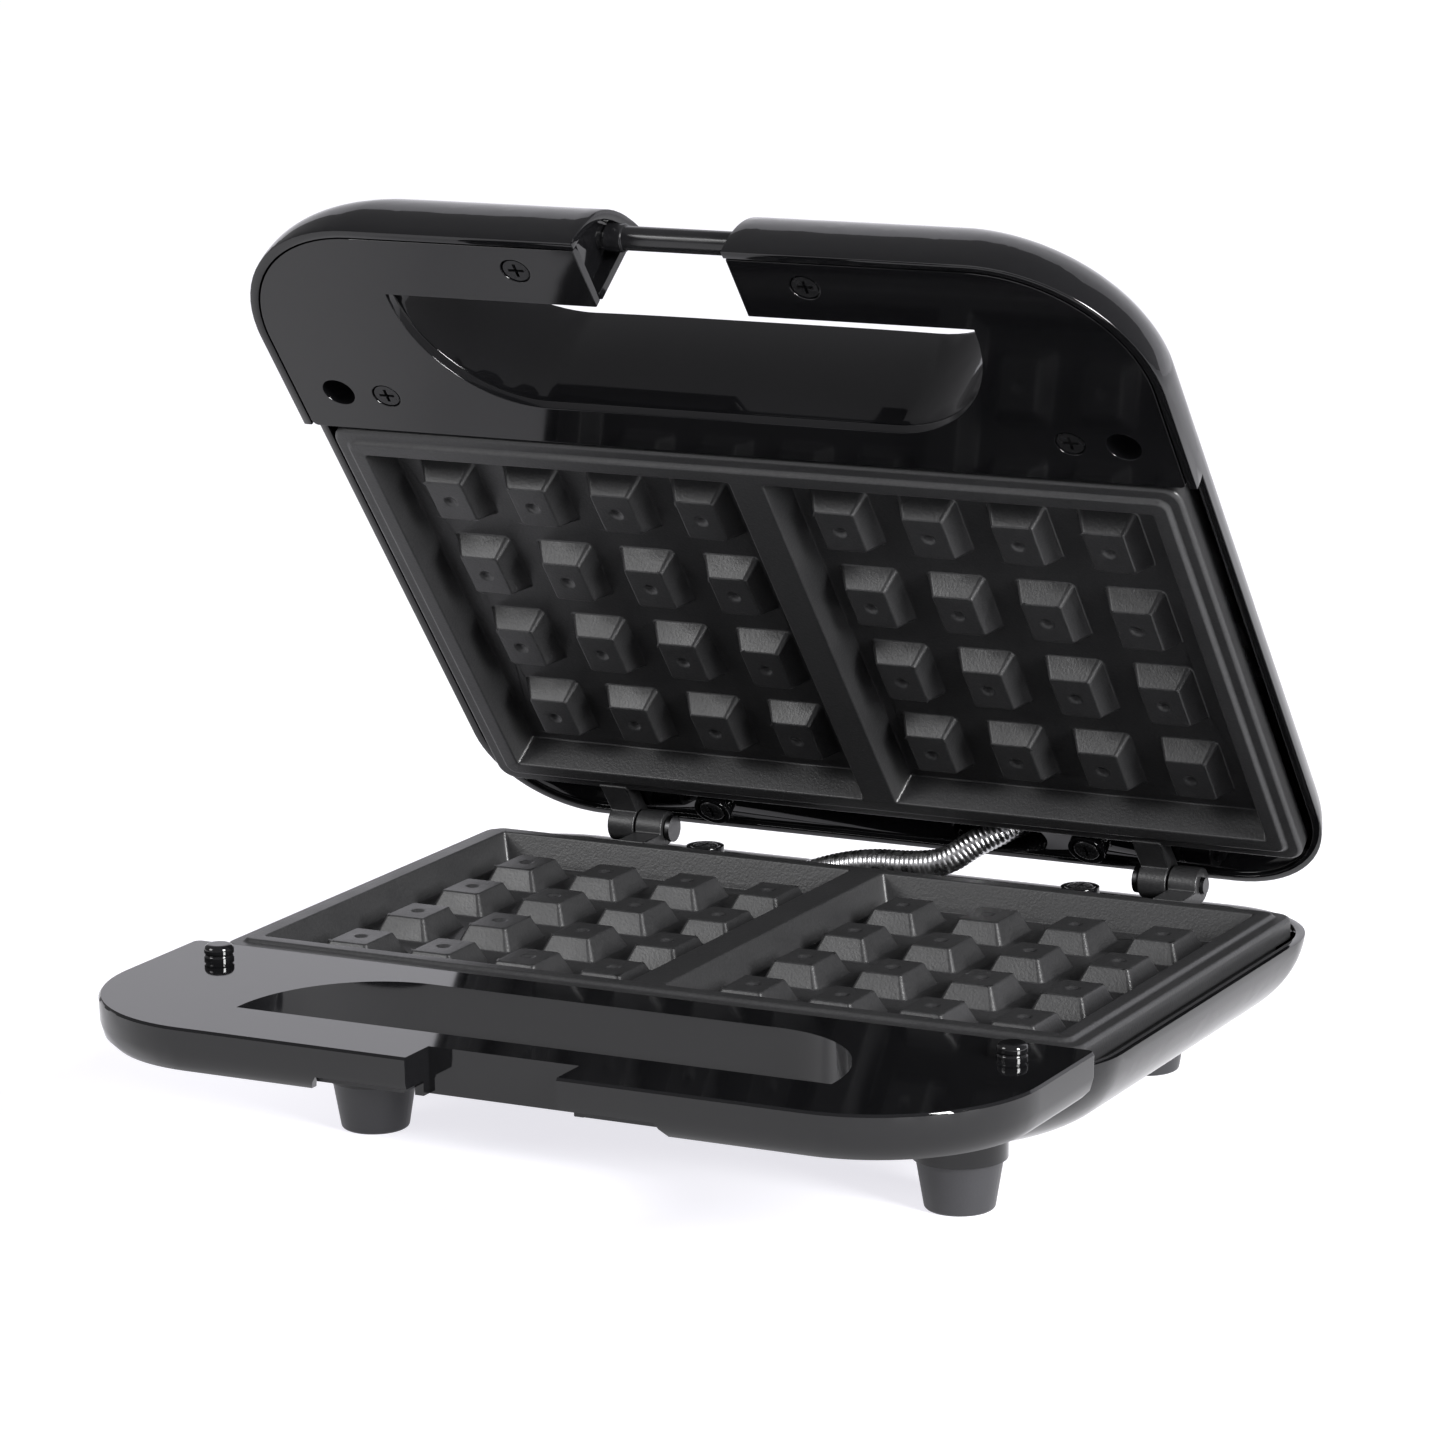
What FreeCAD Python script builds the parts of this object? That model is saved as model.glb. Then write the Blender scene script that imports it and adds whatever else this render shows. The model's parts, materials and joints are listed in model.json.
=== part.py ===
"""Waffle maker with two hinged non-stick plates, modelled in millimetres.

Every piece is drawn with the appliance shut. The plane where the two halves meet is z = 0
and the plates are centred on x = y = 0, with -Y at the handles. The base lies below that
plane and the lid above it. At the end the lid is swung open about the hinge axis, and the
whole appliance is moved so that it stands on z = 0 with the origin under its middle.
"""
import FreeCAD, Part
import math
import os

V = FreeCAD.Vector
ALONG_X = V(1, 0, 0)
ALONG_Y = V(0, 1, 0)
ALONG_Z = V(0, 0, 1)

# Overall shape
HALF_WIDTH = 115.5      # side walls of both halves
FRONT = -135.5          # front of the handles
REAR = 81.0             # rear wall of both halves
FRONT_CORNER = 38.0     # corner radius at the handles
REAR_CORNER = 28.0
PARTING_HEIGHT = 45.0   # plane where the halves meet, above the table
LID_HEIGHT = 32.0
BASE_DEPTH = 33.0
WALL = 2.2              # moulded wall thickness
RIM = 4.8               # gap from the parting plane to each housing's edge
FULLNESS = 2.5          # exponent of the curve the walls follow, 2 being an ellipse

# Hinge
HINGE_Y = 77.7
REST_ANGLE = 51.8       # how far the lid stands open
PLATE_Y = 20.47         # plate centre behind the origin
KNUCKLE_R = 4.4
PIN_R = 2.0
PIN_PLAY = 0.05
LUG_INNER = 65.5        # the two lugs of a hinge lie between these distances
LUG_OUTER = 80.9
LUG_GAP = 0.6
LUG_WIDTH = (LUG_OUTER - LUG_INNER - LUG_GAP) / 2

# Plates
PLATE_HALF_W = 110.0
PLATE_HALF_D = 65.5
PLATE_CORNER = 4.5
PLATE_FACE = 0.2        # bead's setback from the parting plane
BEAD_HEIGHT = 1.0
BEAD_INSET = 3.2
SKIRT = 6.5             # bottom of the visible skirt
WELL_EDGE = 7.6         # from the plate's edge to the well
RIDGE_HALF = 4.3        # half the ridge between the two wells
WELL_DEPTH = 8.0
WELL_SLOPE = 2.2        # how far a well's wall leans in
PLATE_BACK = 11.0
STUD_X = 22.67          # pitch of the studs
STUD_Y = 26.9
STUDS_MIDDLE = 52.25    # centre of each group of studs
STUD_TOP = 2.7
STUDS = 4               # studs each way in a well

# Handles
HANDLE_REAR = -67.6
HANDLE_GAP = 0.3        # from the parting plane to the lid's handle
COVER = 2.4             # thickness of the flat handle faces
COVER_INSET = 2.6
HANDLE_WALL = 11.0      # height of the lower handle's outer wall
WINDOW_HALF = 74.5
WINDOW_FRONT = -115.0
WINDOW_REAR = -79.5
WINDOW_CURVE = 30.0     # width of the curved ends
GAP_HALF = 18.8         # latch gap in the lid's handle
NOTCH_DEPTH = 10.5      # latch notch in the lower handle
RECESS_HALF = 43.0      # shallow recess under the lower handle's front wall
RECESS_HEIGHT = 3.4
PEG = (101.0, -80.0)
PEG_R = 3.5
PEG_HEIGHT = 3.6
COVER_SCREWS = [(36.5, -125.4), (88.0, -79.8)]
FLANGE_SCREW = (51.5, 71.0)

# Feet
FEET = [(76.0, -53.0), (70.0, 69.0)]
FOOT_HEIGHT = PARTING_HEIGHT - BASE_DEPTH

# Parts behind the plates
PLATE_SCREWS = [(84.0, -36.0), (84.0, 36.0)]
PLATE_BOSS = 8.0        # length of the bosses the plate screws enter
ELEMENT_R = 3.3
REFLECTOR_Z = -22.5     # the tray's floor
SHEET = 0.8
GAP = 0.1               # between pieces that rest on each other

# Lid details
LAMPS = [(-11.0, -58.0), (11.0, -58.0)]
LAMP_R = 3.55
ROD = (-121.5, 16.2)    # y and z of the latch rod
ROD_R = 2.8

# Base details
LOWER_SCREWS = [(56.0, -124.5), (95.0, -100.0)]
INLET = (42.0, -16.5)   # x and z of the cord's grommet
INLET_R = 6.0
INLET_BORE = 3.6
INLET_DEPTH = 5.5
FLANGE_Z = (RIM + 1.2, RIM + 3.4)
SCREW_CUP_R = 4.8
BOSS_R = 4.6

# Wire conduit between the halves
CONDUIT_R = 3.6
LEAD_Y = HINGE_Y - 3.7    # where the conduit crosses the flanges
SLOT_CLEARANCE = 1.0

shapes = {}


def box(x0, x1, y0, y1, z0, z1):
    return Part.makeBox(x1 - x0, y1 - y0, z1 - z0, V(x0, y0, z0))


def cylinder(x, y, z0, z1, r):
    return Part.makeCylinder(r, z1 - z0, V(x, y, z0))


def rounded_wire(corners, z):
    """Closed wire through (x, y, radius) corners, at height z."""
    arcs = []
    for i, (x, y, r) in enumerate(corners):
        here = V(x, y, z)
        back = (V(corners[i - 1][0], corners[i - 1][1], z) - here).normalize()
        following = corners[(i + 1) % len(corners)]
        ahead = (V(following[0], following[1], z) - here).normalize()
        half = back.getAngle(ahead) / 2
        reach = r / math.tan(half)
        inward = (back + ahead).normalize()
        middle = here + inward * (r / math.sin(half) - r)
        arcs.append((here + back * reach, middle, here + ahead * reach))
    edges = []
    for i, (start, middle, end) in enumerate(arcs):
        edges.append(Part.LineSegment(arcs[i - 1][2], start).toShape())
        edges.append(Part.Arc(start, middle, end).toShape())
    return Part.Wire(edges)


def rectangle(half_w, front, rear, r_front, r_rear, z):
    fronts = [(-half_w, front, r_front), (half_w, front, r_front)]
    rears = [(half_w, rear, r_rear), (-half_w, rear, r_rear)]
    return rounded_wire(fronts + rears, z)


def prism(wire, height):
    return Part.Face(wire).extrude(V(0, 0, height))


def draw_in(fraction, depth):
    """How far a wall has drawn in at a fraction of its full height."""
    return depth * (1 - (1 - fraction ** FULLNESS) ** (1 / FULLNESS))


def dome(front, height, front_depth, side_depth, rear_depth, r_front, wall=0.0):
    """Moulded cover, open side down at z = 0, with walls that curve over to a flat top."""
    sections = []
    for fraction in (0.0, 0.2, 0.4, 0.55, 0.7, 0.82, 0.91, 0.97, 1.0):
        half_w = HALF_WIDTH - wall - draw_in(fraction, side_depth)
        y_front = front + wall + draw_in(fraction, front_depth)
        y_rear = REAR - wall - draw_in(fraction, rear_depth)
        level = fraction * (height - wall)
        sections.append(rectangle(half_w, y_front, y_rear, r_front - wall, REAR_CORNER - wall, level))
    return Part.makeLoft(sections, True, False)


def window(grow, z0, z1):
    """Finger opening: a straight front edge, and elliptical ends that run to a straight rear edge."""
    half = WINDOW_HALF + grow
    front = WINDOW_FRONT - grow
    rear = WINDOW_REAR + grow
    waist = WINDOW_FRONT + 2.0
    right = V(half - WINDOW_CURVE - grow, waist, z0)
    left = V(-right.x, waist, z0)
    rise = V(0, rear - waist, 0)
    run = V(WINDOW_CURVE + grow, 0, 0)
    right_end = Part.Arc(Part.Ellipse(right + rise, right + run, right), 0, math.pi / 2).toShape()
    left_end = Part.Arc(Part.Ellipse(left + rise, left - run, left), 0, math.pi / 2).toShape()
    points = [left - run, V(-half, front, z0), V(half, front, z0), right + run]
    edges = [Part.LineSegment(a, b).toShape() for a, b in zip(points, points[1:])]
    edges += [right_end, Part.LineSegment(right + rise, left + rise).toShape(), left_end]
    return Part.Face(Part.Wire(Part.__sortEdges__(edges))).extrude(V(0, 0, z1 - z0))


def both_sides(points):
    return [(sign * x, y) for x, y in points for sign in (-1, 1)]


def mirrored_down(shape):
    return shape.mirror(V(0, 0, 0), ALONG_Z)


def turned_over(shape):
    """The same casting used in the other half, turned about the Y axis."""
    turned = shape.copy()
    turned.rotate(V(0, 0, 0), ALONG_Y, 180)
    return turned


def in_base(name, shape):
    placed = shape.copy()
    placed.translate(V(0, PLATE_Y, PARTING_HEIGHT))
    shapes[name] = placed


def in_lid(name, shape):
    placed = shape.copy()
    placed.rotate(V(0, HINGE_Y, 0), ALONG_X, -REST_ANGLE)
    in_base(name, placed)


# Plates

def stud(x, y):
    """Tapered block that presses a pocket into the waffle, with a dimple in its top."""
    half_base = (7.8, 9.6)
    half_top = (5.1, 6.5)
    dimple_r = 2.4
    wires = []
    for (half_x, half_y), z, r in ((half_base, -WELL_DEPTH - 0.5, 1.5), (half_top, -STUD_TOP, 0.9)):
        corners = ((-1, -1), (1, -1), (1, 1), (-1, 1))
        wires.append(rounded_wire([(x + i * half_x, y + j * half_y, r) for i, j in corners], z))
    block = Part.makeLoft(wires, True, True)
    dimple = Part.makeSphere(dimple_r, V(x, y, -STUD_TOP + 0.7 * dimple_r))
    return block.cut(dimple)


def well(side):
    """Hollow for one waffle, as a solid to be cut from the plate, with the studs left standing."""
    inner = RIDGE_HALF
    outer = PLATE_HALF_W - WELL_EDGE
    depth = PLATE_HALF_D - WELL_EDGE
    r = 0.8
    wires = []
    for inset, z in ((-0.15, 0.5), (WELL_SLOPE, -WELL_DEPTH)):
        x0 = side * (inner + inset)
        x1 = side * (outer - inset)
        low_x = min(x0, x1)
        high_x = max(x0, x1)
        y = depth - inset
        corners = [(low_x, -y, r), (high_x, -y, r), (high_x, y, r), (low_x, y, r)]
        wires.append(rounded_wire(corners, z))
    hollow = Part.makeLoft(wires, True, True)
    steps = [i - (STUDS - 1) / 2 for i in range(STUDS)]
    studs = [stud(side * STUDS_MIDDLE + i * STUD_X, j * STUD_Y) for i in steps for j in steps]
    return hollow.cut(studs)


def lug(x0, bore_r):
    """Cast hinge lug: an arm from the plate's rear edge to a bored knuckle on the hinge axis."""
    arm = box(x0, x0 + LUG_WIDTH, PLATE_HALF_D - 1.5, HINGE_Y, -5.5, -0.8)
    knuckle = Part.makeCylinder(KNUCKLE_R, LUG_WIDTH, V(x0, HINGE_Y, 0), ALONG_X)
    bore = Part.makeCylinder(bore_r, LUG_WIDTH, V(x0, HINGE_Y, 0), ALONG_X)
    return arm.fuse(knuckle).cut(bore)


def plate(bore_r):
    """Die-cast plate for the base; turned over, the same casting serves the lid."""
    def outline(inset, z):
        r = PLATE_CORNER - inset / 2
        depth = PLATE_HALF_D - inset
        return rectangle(PLATE_HALF_W - inset, -depth, depth, r, r, z)
    shoulder = -PLATE_FACE - BEAD_HEIGHT
    bevel = 0.7
    bead = Part.makeLoft([outline(BEAD_INSET, shoulder), outline(BEAD_INSET + 0.8, -PLATE_FACE)], True, True)
    edge = Part.makeLoft([outline(0, shoulder - bevel), outline(bevel, shoulder)], True, True)
    skirt = prism(outline(0, -SKIRT), SKIRT + shoulder - bevel)
    back = prism(outline(3.0, -PLATE_BACK), PLATE_BACK - SKIRT)
    casting = skirt.fuse([edge, bead, back])
    casting = casting.cut([well(-1), well(1)])
    casting = casting.fuse([lug(-LUG_INNER - LUG_WIDTH, bore_r), lug(LUG_OUTER - LUG_WIDTH, bore_r)])
    boss_end = -PLATE_BACK - PLATE_BOSS
    for x, y in both_sides(PLATE_SCREWS):
        boss = cylinder(x, y, boss_end, -PLATE_BACK, 4.5)
        casting = casting.fuse(boss).cut(cylinder(x, y, boss_end, -PLATE_BACK - 0.5, 2.0))
    return casting.removeSplitter()


def hinge_pin(side):
    """Pin with a low head at its inner end."""
    start = V(side * (LUG_INNER - 0.2), HINGE_Y, 0)
    shank = Part.makeCylinder(PIN_R, LUG_OUTER - LUG_INNER + 1.2, start, V(side, 0, 0))
    head = Part.makeCylinder(3.4, 1.6, start, V(-side, 0, 0))
    return shank.fuse(head.makeFillet(0.6, [head.Edges[2]]))


# Heating parts, drawn for the base

def heating_element():
    """Sheathed element bent in a U, with thin cold pins at its ends."""
    z = -PLATE_BACK - ELEMENT_R - GAP
    half = 72.0
    front = -38.0
    rear = 44.0
    bend = 14.0
    turn = bend * (1 - math.sqrt(0.5))
    path = [
        Part.LineSegment(V(-half, rear, z), V(-half, front + bend, z)),
        Part.Arc(V(-half, front + bend, z), V(-half + turn, front + turn, z), V(-half + bend, front, z)),
        Part.LineSegment(V(-half + bend, front, z), V(half - bend, front, z)),
        Part.Arc(V(half - bend, front, z), V(half - turn, front + turn, z), V(half, front + bend, z)),
        Part.LineSegment(V(half, front + bend, z), V(half, rear, z)),
    ]
    spine = Part.Wire([segment.toShape() for segment in path])
    ring = Part.Wire([Part.makeCircle(ELEMENT_R, V(-half, rear, z), ALONG_Y)])
    tube = spine.makePipeShell([ring], True, False)
    pins = [Part.makeCylinder(1.4, 11, V(x, rear, z), ALONG_Y) for x in (-half, half)]
    return tube.fuse(pins)


def element_clamps():
    """Spring-steel saddles that hold the element against the plate."""
    top = -PLATE_BACK - GAP
    bottom = top - 2 * ELEMENT_R - 1.2
    half_length = 5.0
    half_width = ELEMENT_R + 2.0
    grip = ELEMENT_R + GAP
    saddles = []
    for x, y in ((-72.0, 10.0), (72.0, 10.0), (0.0, -38.0)):
        half_x, half_y = (half_width, half_length) if x else (half_length, half_width)
        strap = box(x - half_x, x + half_x, y - half_y, y + half_y, bottom, top)
        slot_x, slot_y = (grip, 2 * half_length) if x else (2 * half_length, grip)
        slot = box(x - slot_x, x + slot_x, y - slot_y, y + slot_y, bottom + 1.0, top + 1)
        saddles.append(strap.cut(slot))
    return Part.makeCompound(saddles)


def reflector():
    """Shallow sheet tray that keeps the heat at the plate."""
    def block(inset, z):
        r = 6.0 - inset
        return prism(rectangle(91 - inset, inset - 50, 50 - inset, r, r, z), 4)
    tray = block(0, REFLECTOR_Z).cut(block(SHEET, REFLECTOR_Z + SHEET))
    holes = [cylinder(x, y, REFLECTOR_Z - 1, REFLECTOR_Z + 2, 2.2) for x, y in both_sides(PLATE_SCREWS)]
    wiring = box(-11, 11, 1, 24, REFLECTOR_Z - 1, REFLECTOR_Z + 2)
    return tray.cut(holes + [wiring])


def plate_screws():
    """Pan-head screws through the reflector into the plate's bosses."""
    screws = []
    for x, y in both_sides(PLATE_SCREWS):
        shank = cylinder(x, y, REFLECTOR_Z - GAP, -PLATE_BACK - 2, 1.95)
        collar = cylinder(x, y, REFLECTOR_Z + SHEET + GAP, -PLATE_BACK - PLATE_BOSS - GAP, 3.4)
        head = cylinder(x, y, REFLECTOR_Z - 2.4, REFLECTOR_Z - GAP, 3.6)
        screws.append(shank.fuse([collar, head]))
    return Part.makeCompound(screws)


def thermostat():
    """Snap-disc thermostat on the plate's back, with two blade terminals."""
    top = -PLATE_BACK - GAP
    cup = cylinder(0, 12, top - 3.5, top, 9.0)
    body = cylinder(0, 12, top - 8, top - 3.5, 7.5)
    blades = [box(x - 3.2, x + 3.2, 16, 16.8, top - 10.5, top - 7) for x in (-4.5, 4.5)]
    return cup.fuse([body] + blades)


def thermal_fuse():
    """Cartridge fuse in its sleeve, clipped beside the element."""
    z = -PLATE_BACK - 3.4
    sleeve = Part.makeCylinder(3.0, 22, V(-46, -12, z), ALONG_X)
    leads = Part.makeCylinder(0.8, 40, V(-55, -12, z), ALONG_X)
    clip = box(-40, -30, -15, -9, z, -PLATE_BACK - GAP)
    return sleeve.fuse([leads, clip])


def pan_screw(x, y, top, head_r, length):
    """Cross-recess screw with its head's top at a level, pointing down."""
    head = cylinder(x, y, top - 2.0, top, head_r)
    head = head.makeFillet(0.7, [edge for edge in head.Edges if edge.BoundBox.ZMin > top - 0.01])
    shank = cylinder(x, y, top - 2.0 - length, top - 1.9, head_r * 0.5)
    slots = [box(x - i, x + i, y - j, y + j, top - 1.1, top + 1) for i, j in ((1.9, 0.4), (0.4, 1.9))]
    return head.fuse(shank).cut(slots)


# Rear flanges, the same in both halves, drawn above the parting plane

def flange(outer):
    """Ledge behind the plate, with screw bosses, a lead slot and room for the hinge."""
    bottom, top = FLANGE_Z
    ledge = box(-HALF_WIDTH, HALF_WIDTH, PLATE_HALF_D + 1.2, REAR - 1, bottom, top).common(outer)
    for x, y in both_sides([FLANGE_SCREW]):
        cup = cylinder(x, y, 1.6, top, SCREW_CUP_R).cut(cylinder(x, y, 0, 3.6, 3.7))
        ledge = ledge.fuse(cup).cut(cylinder(x, y, 0, top + 5, 1.75))
    return ledge


def flange_screws():
    screws = [turned_over(pan_screw(-x, y, -1.4, 3.4, 5.0)) for x, y in both_sides([FLANGE_SCREW])]
    return Part.makeCompound(screws)


def lead_slot(x0, x1, y):
    """Slot in a flange where the conduit passes."""
    r = CONDUIT_R + SLOT_CLEARANCE
    slot = box(x0, x1, y - r, y + r, RIM, RIM + 12)
    ends = [cylinder(x, y, RIM, RIM + 12, r) for x in (x0, x1)]
    return slot.fuse(ends)


# Lid

def lid_dome(wall):
    return dome(FRONT, LID_HEIGHT, 66.0, 72.0, 30.0, FRONT_CORNER, wall)


def upper_housing():
    """Lid cover with the hollow handle bar and the finger opening."""
    outer = lid_dome(0)
    shell = outer.cut(lid_dome(WALL))
    behind_face = HANDLE_GAP + COVER + GAP
    above = LID_HEIGHT + 1
    beside = HALF_WIDTH + 1
    shell = shell.fuse(window(WALL, behind_face, above).common(outer))
    web = GAP_HALF + 4.5
    for x in (-web, web):
        shell = shell.fuse(box(x - 1, x + 1, FRONT, WINDOW_FRONT, behind_face, LID_HEIGHT).common(outer))
    for x, y in both_sides(COVER_SCREWS + [PEG]):
        shell = shell.fuse(cylinder(x, y, behind_face, LID_HEIGHT, BOSS_R).common(outer))
    shell = shell.fuse(flange(outer))
    cuts = [window(0, -1, above)]
    cuts.append(box(-GAP_HALF, GAP_HALF, FRONT - 1, WINDOW_FRONT + 3, -1, above))
    cuts.append(box(-beside, beside, HANDLE_REAR, REAR + 1, -1, 1.5))
    cuts.append(rim_cut())
    cuts.append(box(-beside, beside, FRONT - 1, HANDLE_REAR, -1, HANDLE_GAP))
    cuts.append(lead_slot(18, 34, LEAD_Y))
    reach = GAP_HALF + 12
    cuts.append(Part.makeCylinder(ROD_R + 0.02, 2 * reach, V(-reach, ROD[0], ROD[1]), ALONG_X))
    cuts += [cylinder(x, y, 0, HANDLE_GAP + COVER + 7, 1.6) for x, y in both_sides(COVER_SCREWS)]
    cuts += [cylinder(x, y, 0, HANDLE_GAP + COVER + 4, PEG_R + 0.6) for x, y in both_sides([PEG])]
    cuts += [cylinder(x, y, LID_HEIGHT - 6, above, LAMP_R + 0.07) for x, y in LAMPS]
    return shell.cut(cuts).removeSplitter()


def rim_cut():
    """Room between the parting plane and the housing's rim, leaving the screw cups."""
    room = box(-HALF_WIDTH - 1, HALF_WIDTH + 1, HANDLE_REAR, REAR + 1, -1, RIM)
    return room.cut([cylinder(x, y, -1, RIM, SCREW_CUP_R) for x, y in both_sides([FLANGE_SCREW])])


def handle_outline(inset, z):
    rear_r = 1.6
    return rectangle(HALF_WIDTH - inset, FRONT + inset, HANDLE_REAR, FRONT_CORNER - inset, rear_r, z)


def upper_handle_cover():
    """Flat face that closes the lid's handle, with a lip in front of the plate."""
    face = prism(handle_outline(COVER_INSET, HANDLE_GAP), COVER)
    lip = box(-HALF_WIDTH + 8, HALF_WIDTH - 8, HANDLE_REAR - 1.8, HANDLE_REAR, HANDLE_GAP + COVER, 10)
    face = face.fuse(lip)
    cuts = [window(0, -1, LID_HEIGHT)]
    cuts.append(box(-GAP_HALF - 0.4, GAP_HALF + 0.4, FRONT - 1, WINDOW_FRONT + 3, -1, 5))
    for x, y in both_sides(COVER_SCREWS):
        cuts.append(cylinder(x, y, -1, 5, 1.8))
        cuts.append(cylinder(x, y, -1, HANDLE_GAP + 1.5, 3.6))
    cuts += [cylinder(x, y, -1, 5, PEG_R + 0.6) for x, y in both_sides([PEG])]
    return face.cut(cuts)


def upper_cover_screws():
    z = HANDLE_GAP
    screws = []
    for x, y in both_sides(COVER_SCREWS):
        head = cylinder(x, y, z + 0.2, z + 1.5, 3.2)
        shank = cylinder(x, y, z + 1.4, z + 7, 1.55)
        slots = [box(x - i, x + i, y - j, y + j, z, z + 1.1) for i, j in ((2, 0.4), (0.4, 2))]
        screws.append(head.fuse(shank).cut(slots))
    return Part.makeCompound(screws)


def latch_rod():
    """Rod across the latch gap, with a collar at each end."""
    y, z = ROD
    reach = GAP_HALF + 8
    rod = Part.makeCylinder(ROD_R, 2 * reach, V(-reach, y, z), ALONG_X)
    starts = (-GAP_HALF - 1.6, GAP_HALF - 2.8)
    collars = [Part.makeCylinder(ROD_R + 0.5, 4.4, V(x, y, z), ALONG_X) for x in starts]
    return rod.fuse(collars)


def lamp_lens(x, y):
    """Round lens with a shallow crown and a retaining flange below the cover."""
    top = LID_HEIGHT
    barrel = cylinder(x, y, top - 4, top + 0.8, LAMP_R)
    barrel = barrel.makeFillet(0.7, [edge for edge in barrel.Edges if edge.BoundBox.ZMin > top])
    return barrel.fuse(cylinder(x, y, top - 4.6, top - WALL - 0.3, LAMP_R + 1.05))


def lamp_holder():
    """Small board under the two lenses."""
    x = LAMPS[1][0] + 8
    y = LAMPS[0][1]
    board = box(-x, x, y - 8, y + 8, LID_HEIGHT - 7, LID_HEIGHT - 5.4)
    lamps = [cylinder(lx, ly, LID_HEIGHT - 5.4, LID_HEIGHT - 4.7, 2.5) for lx, ly in LAMPS]
    return board.fuse(lamps)


# Base

def lower_housing():
    """Base tray with pads for the feet, drawn upside down and then mirrored."""
    def belly(wall):
        return dome(-79.0, BASE_DEPTH, 30.0, 72.0, 28.0, 26.0, wall)
    outer = belly(0)
    shell = outer.cut(belly(WALL))
    for x, y in both_sides(FEET):
        pad = cylinder(x, y, 16, BASE_DEPTH, 11.0).cut(belly(WALL))
        shell = shell.fuse(pad)
    shell = shell.fuse(flange(outer))
    inlet = V(INLET[0], REAR - INLET_DEPTH, -INLET[1])
    shell = shell.fuse(Part.makeCylinder(INLET_R + 3.5, INLET_DEPTH, inlet, ALONG_Y))
    cuts = [box(-HALF_WIDTH - 1, HALF_WIDTH + 1, FRONT, HANDLE_REAR + 0.2, -1, HANDLE_WALL + 0.4)]
    cuts.append(rim_cut())
    cuts.append(lead_slot(-34, -8, LEAD_Y - 1.2))
    cuts += [cylinder(x, y, 18, BASE_DEPTH + 1, 1.7) for x, y in both_sides(FEET)]
    relief = inlet - ALONG_Y * 12
    cuts.append(Part.makeCylinder(INLET_R, 20, relief, ALONG_Y))
    cuts.append(Part.makeCylinder(INLET_R + 2.3, 12, relief, ALONG_Y))
    return mirrored_down(shell.cut(cuts).removeSplitter())


def cord_inlet():
    """Rubber grommet for the mains cord, set in the rear wall."""
    x, z = INLET
    inside = REAR - INLET_DEPTH
    body = Part.makeCylinder(INLET_R - 0.02, INLET_DEPTH + 0.2, V(x, inside - 0.1, z), ALONG_Y)
    lip = Part.makeCylinder(INLET_R + 2.5, 2.2, V(x, REAR + 0.05, z), ALONG_Y)
    lip = lip.makeFillet(0.8, [lip.Edges[2]])
    inner_lip = Part.makeCylinder(INLET_R + 2.0, 2.0, V(x, inside - 2.05, z), ALONG_Y)
    bore = Part.makeCylinder(INLET_BORE, 20, V(x, REAR - 12, z), ALONG_Y)
    return body.fuse([lip, inner_lip]).cut(bore)


def terminal_block():
    """Ceramic block where the cord meets the internal leads."""
    block = box(28, 52, 52.6, 61.1, -29.3, -19.8)
    holes = [Part.makeCylinder(1.8, 20, V(x, 48, -24.5), ALONG_Y) for x in (33, 40, 47)]
    return block.cut(holes)


def lower_handle():
    """Lower handle: flat top, outer wall that curls under, finger opening and latch notch."""
    def body(inset, top):
        sections = [handle_outline(inset + 0.5, top)] if inset == 0 else []
        sections.append(handle_outline(inset, top - 0.6))
        for level, curl in ((6.0, 0.15), (9.0, 1.0), (HANDLE_WALL, 3.0)):
            sections.append(handle_outline(inset + curl, -level if inset == 0 else -level - 0.3))
        return Part.makeLoft(sections, True, True)
    outer = body(0, -HANDLE_GAP)
    shell = outer.cut(body(WALL, -HANDLE_GAP - COVER + 0.6))
    shell = shell.cut(prism(handle_outline(HANDLE_WALL / 2 + WALL, -HANDLE_WALL - 1), 4))
    shell = shell.fuse(window(WALL, -HANDLE_WALL, -HANDLE_GAP - 1))
    notch_back = FRONT + NOTCH_DEPTH
    notch_wall = box(-GAP_HALF - WALL, GAP_HALF + WALL, FRONT, notch_back + WALL, -HANDLE_WALL, -1)
    shell = shell.fuse(notch_wall.common(outer))
    for x, y in both_sides([PEG] + LOWER_SCREWS):
        shell = shell.fuse(cylinder(x, y, -7.2, -1, 4.8))
    cuts = [window(0, -HANDLE_WALL - 5, 1)]
    cuts.append(box(-GAP_HALF, GAP_HALF, FRONT - 1, notch_back, -HANDLE_WALL - 2, 1))
    low = (RECESS_HALF + 2, -HANDLE_WALL - 1)
    high = (RECESS_HALF - 1, -HANDLE_WALL + RECESS_HEIGHT)
    corners = [(-low[0], low[1]), (-high[0], high[1]), high, low, (-low[0], low[1])]
    recess = Part.makePolygon([V(x, FRONT - 1, z) for x, z in corners])
    cuts.append(Part.Face(recess).extrude(V(0, 9.0, 0)))
    cuts += [cylinder(x, y, -6.5, 1, PEG_R) for x, y in both_sides([PEG])]
    cuts += [cylinder(x, y, -8, -3.5, 1.65) for x, y in both_sides(LOWER_SCREWS)]
    return shell.cut(cuts).removeSplitter()


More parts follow.
